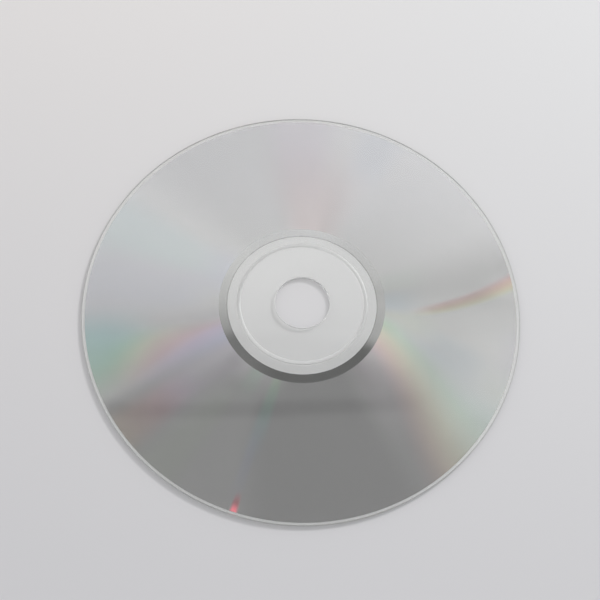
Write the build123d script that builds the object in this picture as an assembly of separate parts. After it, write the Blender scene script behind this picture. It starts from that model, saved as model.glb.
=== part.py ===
"""A 120 mm compact disc in three bonded layers, lying label side down with its read side up.

The moulded clear disc carries a sputtered metal film on its underside, and a clear lacquer coat
seals the film in. Lengths are in millimetres. The origin is the centre of the lacquer's flat
underside, and +Z points up through the read side.
"""

import os

from build123d import *

# Moulded disc
outer_diameter = 120.0
hole_diameter = 15.0
disc_thickness = 1.2
hole_edge_chamfer = 0.1
rim_read_radius = 0.25
rim_label_chamfer = 0.1

# Stacking ring: a low rounded bead on the read side that keeps stacked discs apart
stacking_ring_diameter = 34.9
stacking_ring_width = 1.0
stacking_ring_height = 0.12

# Ring groove that the mould leaves in the label side
mould_groove_diameter = 35.1
mould_groove_width = 0.6
mould_groove_depth = 0.12
mould_groove_draft = 0.12

# Metal film: far thinner on the real disc, drawn thick enough to be a solid
film_inner_diameter = 41.1
film_outer_diameter = 118.3
film_thickness = 0.01

# Lacquer: it reaches past both edges of the film, inwards to just outside the mould groove, and
# bonds to the plastic there
lacquer_over_film = 0.02
lacquer_inner_lap = 2.6
lacquer_outer_lap = 0.4

# Heights, from the lacquer's underside up
film_underside = lacquer_over_film
disc_underside = film_underside + film_thickness
read_face = disc_underside + disc_thickness

# Radii
hole_radius = hole_diameter / 2
outer_radius = outer_diameter / 2
film_inner_radius = film_inner_diameter / 2
film_outer_radius = film_outer_diameter / 2
lacquer_inner_radius = film_inner_radius - lacquer_inner_lap
lacquer_outer_radius = film_outer_radius + lacquer_outer_lap


def ring(inner_radius, outer_radius, bottom, top):
    """Flat ring between two radii and two heights."""
    with BuildPart() as body:
        with BuildSketch(Plane.XZ):
            with Locations((inner_radius, bottom)):
                Rectangle(outer_radius - inner_radius, top - bottom, align=(Align.MIN, Align.MIN))
        revolve(axis=Axis.Z)
    return body.part


def make_clear_disc():
    """Injection-moulded disc: one half section, turned about the axis of the hole."""
    ring_start = (stacking_ring_diameter - stacking_ring_width) / 2
    ring_end = (stacking_ring_diameter + stacking_ring_width) / 2
    groove_start = (mould_groove_diameter - mould_groove_width) / 2
    groove_end = (mould_groove_diameter + mould_groove_width) / 2
    groove_floor = disc_underside + mould_groove_depth

    with BuildPart() as disc:
        with BuildSketch(Plane.XZ) as section:
            # Flat plate from the hole wall to the rim, with its corners broken
            with Locations((hole_radius, disc_underside)):
                Rectangle(outer_radius - hole_radius, disc_thickness, align=(Align.MIN, Align.MIN))
            columns = section.vertices().group_by(Axis.X)
            chamfer(columns[0], length=hole_edge_chamfer)
            rim_corners = columns[-1].sort_by(Axis.Y)
            chamfer(rim_corners[0], length=rim_label_chamfer)
            fillet(rim_corners[-1], radius=rim_read_radius)

            # Stacking ring: an arc over a short chord, standing on the read face
            with BuildLine():
                chord = Line((ring_start, read_face), (ring_end, read_face))
                SagittaArc(chord @ 0, chord @ 1, stacking_ring_height)
            make_face()

            # Mould groove: a trapezium cut into the underside, narrower at its floor
            with BuildLine():
                Polyline(
                    (groove_start, disc_underside),
                    (groove_start + mould_groove_draft, groove_floor),
                    (groove_end - mould_groove_draft, groove_floor),
                    (groove_end, disc_underside),
                    close=True,
                )
            make_face(mode=Mode.SUBTRACT)
        revolve(axis=Axis.Z)
    return disc.part


def make_reflective_film():
    """Metal ring that lies against the underside of the plastic."""
    return ring(film_inner_radius, film_outer_radius, film_underside, disc_underside)


def make_lacquer_coat(film):
    """Lacquer ring with the film's own shape taken out of its top."""
    coat = ring(lacquer_inner_radius, lacquer_outer_radius, 0, disc_underside)
    return coat - film


film = make_reflective_film()
nodes = {
    "clear_disc": make_clear_disc(),
    "reflective_film": film,
    "lacquer_coat": make_lacquer_coat(film),
}

os.makedirs("parts", exist_ok=True)
for name, solid in nodes.items():
    export_step(solid, f"parts/{name}.step")
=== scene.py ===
import math

import bmesh
import bpy
from mathutils import Matrix, Vector


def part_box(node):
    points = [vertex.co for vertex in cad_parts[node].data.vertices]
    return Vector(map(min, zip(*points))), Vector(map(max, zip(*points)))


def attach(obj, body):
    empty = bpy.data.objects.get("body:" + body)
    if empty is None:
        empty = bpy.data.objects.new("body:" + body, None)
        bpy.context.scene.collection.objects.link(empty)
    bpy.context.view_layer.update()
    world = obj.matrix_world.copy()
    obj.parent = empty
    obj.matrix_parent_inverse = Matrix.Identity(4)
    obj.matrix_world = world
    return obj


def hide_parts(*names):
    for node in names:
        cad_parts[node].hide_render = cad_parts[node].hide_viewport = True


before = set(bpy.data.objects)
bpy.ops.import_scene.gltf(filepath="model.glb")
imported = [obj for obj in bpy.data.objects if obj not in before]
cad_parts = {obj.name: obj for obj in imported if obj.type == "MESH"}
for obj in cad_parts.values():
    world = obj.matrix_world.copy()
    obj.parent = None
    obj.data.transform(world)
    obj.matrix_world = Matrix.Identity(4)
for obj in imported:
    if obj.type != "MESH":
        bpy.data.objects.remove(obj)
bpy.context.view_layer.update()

# Clear disc
# One moulding of clear polycarbonate, injected at the centre: a low bead on the read side keeps
# stacked discs apart, and the mould leaves a shallow groove round the hub on the label side.

MM = 0.001
TURN_STEPS = 720
disc_low, disc_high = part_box("clear_disc")
outer_radius = disc_high.x
underside = disc_low.z
bead_height = 0.12 * MM
read_face = disc_high.z - bead_height
hole_radius = 7.5 * MM
edge_chamfer = 0.1 * MM
rim_radius = 0.25 * MM
bead_radius = 17.45 * MM
bead_half_width = 0.5 * MM
groove_radius = 17.55 * MM
groove_half_width = 0.3 * MM
groove_draft = 0.12 * MM
groove_floor = underside + 0.12 * MM


def half_section(corners):
    """Start of a turned piece: a line through the corners of its half section."""
    section = bmesh.new()
    points = [section.verts.new((radius, 0, height)) for radius, height in corners]
    for here, there in zip(points, points[1:]):
        section.edges.new((here, there))
    return section


def turned_piece(name, section):
    """Closed piece made by turning a half section round the axis of the hole."""
    bmesh.ops.remove_doubles(section, verts=section.verts, dist=1e-4 * MM)
    bmesh.ops.spin(
        section, geom=section.verts[:] + section.edges[:], cent=(0, 0, 0), axis=(0, 0, 1),
        angle=math.tau, steps=TURN_STEPS, use_merge=True,
    )
    bmesh.ops.recalc_face_normals(section, faces=section.faces)
    for face in section.faces:
        face.smooth = True
    for edge in section.edges:
        flats = [abs(face.normal.z) > 0.9999 for face in edge.link_faces]
        edge.smooth = edge.calc_face_angle() < math.radians(30) and flats[0] == flats[1]
    mesh = bpy.data.meshes.new(name)
    section.to_mesh(mesh)
    section.free()
    piece = bpy.data.objects.new(name, mesh)
    bpy.context.scene.collection.objects.link(piece)
    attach(piece, "root")
    return piece


section = half_section([
    (bead_radius + bead_half_width, read_face),
    (outer_radius, read_face),
    (outer_radius, underside),
    (groove_radius + groove_half_width, underside),
    (groove_radius + groove_half_width - groove_draft, groove_floor),
    (groove_radius - groove_half_width + groove_draft, groove_floor),
    (groove_radius - groove_half_width, underside),
    (hole_radius, underside),
    (hole_radius, read_face),
    (bead_radius - bead_half_width, read_face),
])
corners = list(section.verts)
rim_read, rim_label, hole_label, hole_read, bead_start = (corners[i] for i in (1, 2, 7, 8, 9))
for corner, size, segments in (
    (rim_read, rim_radius, 8),
    (rim_label, edge_chamfer, 1),
    (hole_label, edge_chamfer, 1),
    (hole_read, edge_chamfer, 1),
):
    bmesh.ops.bevel(
        section, geom=[corner], affect="VERTICES", offset=size, segments=segments,
        profile=0.5, material=-1,
    )
# The bead is an arc over a chord of its width, standing on the read face
bead_arc_radius = (bead_half_width**2 + bead_height**2) / (2 * bead_height)
bmesh.ops.spin(
    section, geom=[bead_start], cent=(bead_radius, 0, read_face + bead_height - bead_arc_radius),
    axis=(0, 1, 0), angle=2 * math.asin(bead_half_width / bead_arc_radius), steps=10,
)
disc = turned_piece("disc", section)
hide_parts("clear_disc")


class Wire:
    """A socket of a node tree. Arithmetic on it adds nodes, and node() adds any other node."""

    def __init__(self, tree, socket=None):
        self.tree = tree
        self.socket = socket

    def node(self, kind, settings=None, inputs=None, output=0):
        """A new node: its settings are set first, then the values or wires of its sockets."""
        made = self.tree.nodes.new(kind)
        for name, setting in (settings or {}).items():
            if name == "stops":
                while len(made.color_ramp.elements) < len(setting):
                    made.color_ramp.elements.new(0.5)
                for stop, (place, colour) in zip(made.color_ramp.elements, setting):
                    stop.position = place
                    stop.color = (*colour, 1)
            else:
                setattr(made, name, setting)
        for name, value in (inputs or {}).items():
            socket = made.inputs[name]
            if isinstance(value, Wire):
                self.tree.links.new(value.socket, socket)
            elif socket.type == "VECTOR" and not hasattr(value, "__len__"):
                socket.default_value = (value,) * 3
            elif socket.type == "RGBA":
                socket.default_value = (*value, 1)
            else:
                socket.default_value = value
        return None if output is None else Wire(self.tree, made.outputs[output])

    def output(self, name):
        """Another output of the node that this wire comes from."""
        return Wire(self.tree, self.socket.node.outputs[name])

    def maths(self, operation, *values):
        """Math on numbers, or Vector Math where one of the values is a colour or a vector."""
        colours = any(isinstance(v, Wire) and v.socket.type != "VALUE" for v in values)
        colours = colours or any(hasattr(v, "__len__") for v in values)
        kind = "ShaderNodeVectorMath" if colours else "ShaderNodeMath"
        return self.node(kind, {"operation": operation}, dict(enumerate(values)))

    def __add__(self, other):
        return self.maths("ADD", self, other)

    def __sub__(self, other):
        return self.maths("SUBTRACT", self, other)

    def __rsub__(self, other):
        return self.maths("SUBTRACT", other, self)

    def __mul__(self, other):
        return self.maths("MULTIPLY", self, other)

    def __truediv__(self, other):
        return self.maths("DIVIDE", self, other)

    __radd__ = __add__
    __rmul__ = __mul__

    def __abs__(self):
        return self.maths("ABSOLUTE", self)

    def step(self, start, end):
        """0 up to one value and 1 from another, with a soft S between them."""
        return self.node(
            "ShaderNodeMapRange", {"interpolation_type": "SMOOTHSTEP"},
            {"Value": self, "From Min": start, "From Max": end},
        )

    def blend(self, low, high):
        """From one colour at 0 to another at 1."""
        return self.node("ShaderNodeMix", {"data_type": "RGBA"}, {0: self, 6: low, 7: high}, 2)


def finish(name):
    """A new material, as itself and as a bare wire to add its nodes from."""
    material = bpy.data.materials.new(name)
    material.use_nodes = True
    material.node_tree.nodes.clear()
    return material, Wire(material.node_tree)


def dress(piece, material, surface):
    """Ends a material's nodes with this surface and gives the piece one more slot for it."""
    surface.node("ShaderNodeOutputMaterial", None, {"Surface": surface}, None)
    piece.data.materials.append(material)


def clear_to_lamps(shader, surface, passing):
    """Light of the lamps and the room meets the second shader instead, and goes straight on."""
    for rays in ("Is Diffuse Ray", "Is Shadow Ray"):
        light = shader.node("ShaderNodeLightPath", None, None, rays)
        surface = shader.node("ShaderNodeMixShader", None, {0: light, 1: surface, 2: passing})
    return surface


def clouded(shader, scale, dark, light):
    """A tone that drifts a little between two colours."""
    cloud = shader.node("ShaderNodeTexNoise", None, {"Scale": scale, "Detail": 3.0})
    return cloud.blend(dark, light)


plastic_ior = 1.585
plastic_tint = (0.99, 0.995, 0.99)
upper_half = (0.6 * MM, 0.8 * MM)
polished, shader = finish("polished_polycarbonate")
surface = shader.node("ShaderNodeBsdfPrincipled", None, {
    "Base Color": clouded(shader, 90.0, (0.975, 0.98, 0.965), (1.0, 1.0, 0.99)),
    "Roughness": 0.0, "IOR": plastic_ior, "Transmission Weight": 1.0,
})
clear = shader.node("ShaderNodeBsdfTransparent", None, {"Color": plastic_tint})
dress(disc, polished, clear_to_lamps(shader, surface, clear))

# The other finishes of the moulding: two tones, roughness, clarity, the share of the lamps' light
# that passes, and 1 where its upper half also holds back light that leaves the plastic. The grey
# tones of the rim, the groove and the label face are painted shade.
POLISHED, HOLE_WALL, RIM, GROOVE, BEAD, LABEL_FACE = range(6)
for name, dark, light, roughness, clarity, share, upper in (
    ("punched_hole_wall", (0.97, 0.975, 0.97), (1.0, 1.0, 1.0), 0.4, 0.3, 0.56, 1.0),
    # Grey tone: painted shade along the disc's edge, on a satin finish
    ("satin_rim_painted_shade", (0.48, 0.485, 0.47), (0.58, 0.585, 0.57), 0.4, 0.5, 0.42, 0.0),
    # Grey tone: painted shade of the dark ring line, on the groove's own matt finish
    ("matt_groove_painted_shade", (0.62, 0.625, 0.62), (0.72, 0.725, 0.72), 0.6, 0.4, 0.80, 0.0),
    ("satin_bead", (0.975, 0.98, 0.965), (1.0, 1.0, 0.99), 0.45, 1.0, 1.0, 0.0),
    # Grey tint: painted shade on the table seen through the disc
    ("moulded_label_face_painted_shade", (0.86, 0.87, 0.855), (0.885, 0.895, 0.88), 0.0, 1.0, 1.0, 0.0),
):
    moulded, shader = finish(name)
    surface = shader.node("ShaderNodeBsdfPrincipled", None, {
        "Base Color": clouded(shader, 400.0, dark, light),
        "Roughness": roughness, "IOR": plastic_ior, "Transmission Weight": clarity,
    })
    clear = shader.node("ShaderNodeBsdfTransparent", None, {"Color": plastic_tint})
    dulled = shader.node("ShaderNodeBsdfTransparent", None, {"Color": (share, share, share)})
    place = shader.node("ShaderNodeTexCoord", None, None, "Object")
    height = place.node("ShaderNodeSeparateXYZ", None, {0: place}, "Z")
    outside = 1 - shader.node("ShaderNodeNewGeometry", None, None, "Backfacing")
    dull = outside.maths("MAXIMUM", outside, height.step(*upper_half) * upper)
    passing = shader.node("ShaderNodeMixShader", None, {0: dull, 1: clear, 2: dulled})
    dress(disc, moulded, clear_to_lamps(shader, surface, passing))
for face in disc.data.polygons:
    from_axis = face.center.xy.length
    facing_up = face.normal.z
    if abs(from_axis - groove_radius) < groove_half_width and face.center.z < read_face / 2:
        face.material_index = GROOVE
    elif from_axis < hole_radius + edge_chamfer and abs(facing_up) < 0.75:
        face.material_index = HOLE_WALL
    elif abs(from_axis - bead_radius) < bead_half_width and face.center.z > read_face:
        face.material_index = BEAD
    elif face.center.z < underside + edge_chamfer / 4 and facing_up < -0.99:
        face.material_index = LABEL_FACE
    elif from_axis > outer_radius - rim_radius and abs(facing_up) < 0.999:
        face.material_index = RIM
    else:
        face.material_index = POLISHED

# Reflective film
# A film of sputtered aluminium on the moulded side of the plastic. The pits under it stand in turns
# 1.6 micrometres apart, so it is part mirror and part grating, which fans white light into colours.

film_low, film_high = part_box("reflective_film")
film_inner = 20.55 * MM
film_outer = film_high.x
film_top = film_high.z + 0.004 * MM
film = turned_piece("film", half_section([
    (film_inner, film_low.z),
    (film_outer, film_low.z),
    (film_outer, film_top),
    (film_inner, film_top),
    (film_inner, film_low.z),
]))
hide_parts("reflective_film")

# Hues of the first order, from 0 at its violet end to 1 at its red end, and half of the next order
ORDERS = 1.5
RAINBOW = tuple((hue / ORDERS, colour) for hue, colour in (
    (0.00, (0.45, 0.25, 0.95)),
    (0.18, (0.15, 0.35, 1.00)),
    (0.36, (0.05, 0.80, 0.85)),
    (0.52, (0.15, 0.90, 0.30)),
    (0.68, (0.85, 0.85, 0.15)),
    (0.82, (1.00, 0.50, 0.12)),
    (1.00, (1.00, 0.12, 0.20)),
    (1.20, (0.60, 0.25, 0.90)),
    (1.50, (0.20, 0.45, 1.00)),
))
mirror_band_end = 22.9 * MM
band_edge = 0.1 * MM

metal, shader = finish("sputtered_aluminium")
place = shader.node("ShaderNodeTexCoord", None, None, "Object")
x = place.node("ShaderNodeSeparateXYZ", None, {0: place}, "X")
y = x.output("Y")
radius = place.node("ShaderNodeVectorMath", {"operation": "LENGTH"}, {0: place}, "Value")
reach = (radius - film_inner) / (film_outer - film_inner)
bearing = x.maths("ARCTAN2", y, x) * math.degrees(1)
grating = radius.step(mirror_band_end - band_edge, mirror_band_end + band_edge)


def away_from(line):
    """Degrees round from a bearing to here, the short way."""
    offset = bearing - line
    return offset.maths("WRAP", offset, 180.0, -180.0)


def near(centre, inside, outside):
    """1 within some degrees of one bearing, falling to 0 further round."""
    return 1 - abs(away_from(centre)).step(inside, outside)


def fan(
    hub, rim, half_width, hues, strength,
    start=-0.5, end=1.5, soft=0.15, drift=0.0, bow=0.0, pale=0.0,
):
    """Painted fan of diffracted light: bearings at hub and rim, half width, and hues side to side.

    It fades in at start and out at end of the way from hub to rim. Its hues may drift on that way,
    its path may bow, and pale is the share of white in it.
    """
    path = reach * ((1 - reach) * bow + 1)
    offset = away_from(path * (rim - hub) + hub) / half_width
    window = 1 - abs(offset).step(0.2, 1.0)
    along = reach.step(start - soft, start + soft) * (1 - reach.step(end - soft, end + soft))
    low, high = hues
    hue = (offset + 1) * ((high - low) / 2) + reach * drift + low
    colour = offset.node("ShaderNodeValToRGB", {"stops": RAINBOW}, {"Fac": hue / ORDERS})
    colour = colour * (1 - pale) + (pale, pale, pale)
    return colour * (window * along * grating * strength)


# An even pale share all over the grating, and painted fans of diffracted light on top of it
colours = grating * (0.34, 0.339, 0.341)
for painted_fan in (
    # Pale fans on the far side
    fan(71, 71, 10, (0.22, 0.22), 0.05, start=0.6),
    fan(87, 91, 26, (0.94, 0.94), 0.09, end=0.6, soft=0.35),
    fan(95, 95, 15, (1.15, 1.15), 0.06, start=0.5, soft=0.3),
    fan(160, 160, 13, (0.33, 0.33), 0.06, start=0.2, soft=0.25),
    fan(162, 162, 24, (0.12, 0.12), 0.09, end=0.15, soft=0.25),
    fan(178, 178, 16, (0.1, 0.1), 0.05, start=0.2),
    # Fans along the left edge of the dark patch
    fan(207, 203, 13, (0.9, 2.0), 0.18, end=0.8, soft=0.2, drift=-1.0, pale=0.35),
    fan(198, 200, 15, (0.28, 0.54), 0.19, start=0.7, soft=0.25),
    fan(212, 214, 30, (1.2, 1.2), 0.52, end=0.45, soft=0.5, pale=0.88),
    fan(222, 223, 8, (1.45, 1.45), 0.09, start=0.45, drift=-0.65),
    fan(236, 236, 9, (0.6, 0.6), 0.03, start=0.3),
    fan(244, 244, 7, (0.5, 0.5), 0.05, end=0.2),
    # The streak towards the viewer
    fan(258, 257, 4.5, (0.6, 0.6), 0.08, end=0.5, soft=0.25, drift=-0.6),
    fan(257, 257, 2.5, (0.15, 0.15), 0.04, start=0.5, end=0.85),
    fan(257.8, 257.8, 1.3, (1.0, 1.0), 0.70, start=0.93, soft=0.08),
    # The fan along the right edge of the patch
    fan(345, 322, 17, (1.1, 0.35), 0.17, drift=-0.12, bow=0.8, pale=0.15),
    fan(328, 322, 30, (1.1, 1.1), 0.36, end=0.35, soft=0.45, pale=0.9),
    fan(352, 340, 9, (0.28, 0.28), 0.07, start=0.4, end=0.8),
    fan(354, 354, 10, (0.6, 0.6), 0.05, end=0.4),
    fan(336, 336, 13, (0.5, 0.5), 0.04, start=0.85),
    fan(350, 350, 12, (0.02, 0.02), 0.06, start=0.95),
    # The thin line beyond it
    fan(-3.5, 11.7, 3.4, (0.58, 1.06), 0.34, start=0.35, pale=0.3),
    fan(7, 7, 10, (0.28, 0.28), 0.08, end=0.25),
    fan(20, 20, 9, (0.5, 0.5), 0.03, end=0.35),
):
    colours = colours + painted_fan
# The painted fans give the grating its share from their brightest channel, and its tint
red = colours.node("ShaderNodeSeparateColor", None, {0: colours}, "Red")
grating_share = red.maths("MAXIMUM", red, red.output("Green"))
grating_share = red.maths("MAXIMUM", grating_share, red.output("Blue"))
grating_share = red.maths("MAXIMUM", grating_share, 0.001)
tint = colours / grating_share

# Painted highlight and shade: how bright the grating's scattered light is painted. Each row
# changes it near one bearing, by one amount at the hub and by another at the rim, and says
# between which two shares of the way out the first gives way.
painted_light_level = near(172, 12, 42) * 0.2 + 0.56
for centre, inside, outside, hub, rim, start, end in (
    (11, 1, 6, 0.00, 0.20, 0.70, 1.00),
    (93, 6, 16, 0.09, 0.00, 0.05, 0.60),
    (197, 3, 12, -0.05, 0.00, 0.05, 0.60),
    (211, 6, 20, 0.12, 0.08, 0.05, 0.90),
    (246, 8, 22, 0.20, 0.00, 0.05, 0.25),
    (257.8, 0.4, 1.5, 0.00, 0.50, 0.93, 1.00),
    (311, 2, 11, 0.00, 0.09, 0.05, 0.50),
    (324, 4, 12, 0.00, -0.08, 0.75, 1.00),
    (342, 10, 30, 0.25, 0.00, 0.05, 0.60),
):
    painted_light_level = painted_light_level + near(centre, inside, outside) * (reach.step(start, end) * (rim - hub) + hub)

# The bare metal is darker at its inner edge, and a little brighter where the grating lies
inner_edge = radius.step(film_inner - 0.05 * MM, film_inner + 0.3 * MM)
silver = (inner_edge * 0.4 + 0.6) * (grating * 0.048 + 0.532) * (1.0, 1.006, 1.0)
mirror = shader.node("ShaderNodeBsdfPrincipled", None, {
    "Base Color": silver, "Metallic": 1.0, "Roughness": 0.03,
})
scattering = shader.node("ShaderNodeBsdfPrincipled", None, {
    "Base Color": tint * painted_light_level, "Metallic": 1.0, "Roughness": 0.8,
})
surface = shader.node("ShaderNodeMixShader", None, {0: grating_share, 1: mirror, 2: scattering})
dress(film, metal, surface)

# Lacquer coat
# Clear lacquer, spun over the film from the hub and cured under ultraviolet light. It laps past
# both edges of the film onto the plastic and seals the metal in.

coat_inner = 17.95 * MM
coat_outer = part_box("lacquer_coat")[1].x
clearance = 0.001 * MM
lap_top = underside - clearance
lap_inner = film_inner - clearance
lap_outer = film_outer + clearance
coat_floor = film_low.z - clearance
coat = turned_piece("coat", half_section([
    (coat_inner, 0),
    (coat_outer, 0),
    (coat_outer, lap_top),
    (lap_outer, lap_top),
    (lap_outer, coat_floor),
    (lap_inner, coat_floor),
    (lap_inner, lap_top),
    (coat_inner, lap_top),
    (coat_inner, 0),
]))
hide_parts("lacquer_coat")
lacquer, shader = finish("cured_lacquer")
surface = shader.node("ShaderNodeBsdfPrincipled", None, {
    "Base Color": clouded(shader, 120.0, (0.70, 0.71, 0.70), (0.78, 0.79, 0.78)),
    "Metallic": 1.0, "Roughness": 0.1, "Alpha": 0.055,
})
dress(coat, lacquer, surface)

# Table
# A pale floor for the disc to lie on, a hair below its underside. Its colour is painted light
# and shade: darker and cooler on the near side and on the right.

table_radius = 4.0
below_disc = 0.01 * MM
near_painted_shade_tone = (0.750, 0.748, 0.766)
far_left_painted_light_tone = (0.912, 0.888, 0.876)
far_right_painted_light_tone = (0.858, 0.860, 0.863)
floor = bmesh.new()
bmesh.ops.create_circle(floor, cap_ends=True, segments=64, radius=table_radius)
bmesh.ops.translate(floor, verts=floor.verts, vec=(0, 0, -below_disc))
mesh = bpy.data.meshes.new("table")
floor.to_mesh(mesh)
floor.free()
table = bpy.data.objects.new("table", mesh)
bpy.context.scene.collection.objects.link(table)
pale, shader = finish("pale_table")
spot = shader.node("ShaderNodeTexCoord", None, None, "Object")
to_right = spot.node("ShaderNodeSeparateXYZ", None, {0: spot}, "X")
# Painted light and shade: the floor's colour is lighter far off, darker near and on the right
painted_falloff_mask = to_right.output("Y").step(-0.12, 0.15)
far_painted_light_tone = to_right.step(-0.1, 0.1).blend(far_left_painted_light_tone, far_right_painted_light_tone)
grain = spot.node("ShaderNodeTexNoise", None, {"Vector": spot, "Scale": 600.0, "Detail": 3.0})
surface = shader.node("ShaderNodeBsdfPrincipled", None, {
    "Base Color": painted_falloff_mask.blend(near_painted_shade_tone, far_painted_light_tone), "Roughness": grain * 0.2 + 0.6,
})
dress(table, pale, surface)

# Light
# A pale room with one dark patch overhead, which the film mirrors, and one soft lamp. The room's
# tones fan out from the middle of the patch's far edge.

room = bpy.data.worlds.new("room")
bpy.context.scene.world = room
room.use_nodes = True
room.node_tree.nodes.clear()
shader = Wire(room.node_tree)
way = shader.node("ShaderNodeTexCoord", None, None, "Generated")
across = way.node("ShaderNodeSeparateXYZ", None, {0: way}, "X")
ahead = across.output("Y")
room_level = 1.692
middle = 0.39


def span(first, second):
    """Length of a way that goes so far in one direction and so far square to it."""
    squares = first * first + second * second
    return squares.maths("SQRT", squares)


rise = ahead - middle
slope = rise / (abs(across) + 0.04)
distance = span(rise, across)


def radiating(*stops):
    """Tones by the slope of the way from the middle: a slope and its tone for each stop."""
    ramp = [(place / 3 + 0.25, (tone, tone, tone)) for place, tone in stops]
    return slope.node("ShaderNodeValToRGB", {"stops": ramp}, {"Fac": slope / 3 + 0.25})


# The walls left and right, and how much those on the right gain further from the middle
left = radiating(
    (-0.31, 0.32), (-0.20, 0.37), (-0.12, 0.43), (-0.04, 0.48), (0.10, 0.54), (0.22, 0.59),
    (0.41, 0.62), (0.55, 0.60), (0.78, 0.60), (1.05, 0.61), (1.60, 0.615), (2.20, 0.655),
)
right = radiating(
    (-0.21, 0.42), (-0.07, 0.45), (0.03, 0.48), (0.13, 0.45), (0.19, 0.49), (0.24, 0.52),
    (0.32, 0.55), (0.50, 0.575), (0.80, 0.60), (1.20, 0.655),
)
growth = radiating(
    (-0.15, 0.34), (0.00, 0.13), (0.12, 0.00), (0.20, 0.02), (0.28, 0.13), (0.36, 0.22),
    (0.65, 0.24), (0.95, 0.19), (1.30, 0.12),
)
right = right * (growth * distance.maths("MINIMUM", distance * 10 - 1, 1.3) + 1)
smudge_across = 0.212
smudge_ahead = 0.395
smudge = span((across - smudge_across) * 0.25, ahead - smudge_ahead)
right = right * (smudge.step(0.003, 0.010) * 0.05 + 0.95)
on_right = across.step(-0.03, 0.06)
walls = right * on_right + left * (1 - on_right)
far = distance.step(0.3, 0.5)
walls = walls * room_level * (1 - far) + far * (ahead.step(0.25, 0.5) * 0.17 + 0.44)

# The dark patch has a far and a near end, and two sides that lean. Its right side blurs away from
# the middle, it is a little paler on the left, and a darker stripe crosses it.
far_end = (0.345, 0.362)
near_end = (-0.45, -0.30)
right_lean = 0.82
right_start = 0.379
right_blur = 0.22
left_lean = 1.37
left_corner = (-0.083, 0.349)
left_start = left_lean * left_corner[1] - left_corner[0]
left_blur = 0.014
stripe_lean = 0.12
stripe_ahead = 0.276
patch_right = ((across + ahead * right_lean - right_start) / distance).step(right_blur, -right_blur)
patch_left = (across - ahead * left_lean + left_start).step(-left_blur, left_blur)
patch = (1 - ahead.step(*far_end)) * patch_right * patch_left * ahead.step(*near_end)
stripe = 1 - abs(ahead - across * stripe_lean - stripe_ahead).step(0.004, 0.012)
shade = (1 - across.step(-0.06, -0.02)) * 0.045 + 0.135 - stripe * 0.05
fill = walls * (1 - patch) + shade * patch * room_level
hazy = ahead.step(0.40, 0.52).blend((1.0, 1.0, 1.0), (0.99, 0.985, 1.02))
background = shader.node("ShaderNodeBackground", None, {"Color": hazy * fill, "Strength": 1.0})
background.node("ShaderNodeOutputWorld", None, {"Surface": background}, None)

lamp_bearing = math.radians(50)
lamp_height = math.radians(39)
lamp_distance = 1.6
lamp_way = Vector((
    math.cos(lamp_bearing) * math.cos(lamp_height),
    math.sin(lamp_bearing) * math.cos(lamp_height),
    math.sin(lamp_height),
))
lamp_data = bpy.data.lights.new("soft_lamp", "AREA")
lamp_data.shape = "DISK"
lamp_data.size = 0.32
lamp_data.energy = 12.4
lamp = bpy.data.objects.new("soft_lamp", lamp_data)
lamp.location = lamp_way * lamp_distance
lamp.rotation_mode = "QUATERNION"
lamp.rotation_quaternion = lamp_way.to_track_quat("Z", "Y")
bpy.context.scene.collection.objects.link(lamp)

# Camera
# The photograph's view: 24 cm away and 67 degrees above the table, with the camera turned a little
# about its own line of sight.

eye_distance = 239.2 * MM
eye_elevation = math.radians(67.1)
aim = Vector((-0.69 * MM, 1.12 * MM, 0))
roll = math.radians(4.76)
camera_data = bpy.data.cameras.new("camera")
camera_data.sensor_width = 36
camera_data.lens = 52.08
camera_data.clip_start = 0.01
camera = bpy.data.objects.new("camera", camera_data)
camera.location = (
    0,
    -eye_distance * math.cos(eye_elevation),
    eye_distance * math.sin(eye_elevation),
)
look = (aim - camera.location).to_track_quat("-Z", "Y").to_matrix()
camera.rotation_mode = "QUATERNION"
camera.rotation_quaternion = (look @ Matrix.Rotation(roll, 3, "Z")).to_quaternion()
bpy.context.scene.collection.objects.link(camera)
bpy.context.scene.camera = camera
bpy.context.scene.view_settings.view_transform = "Standard"
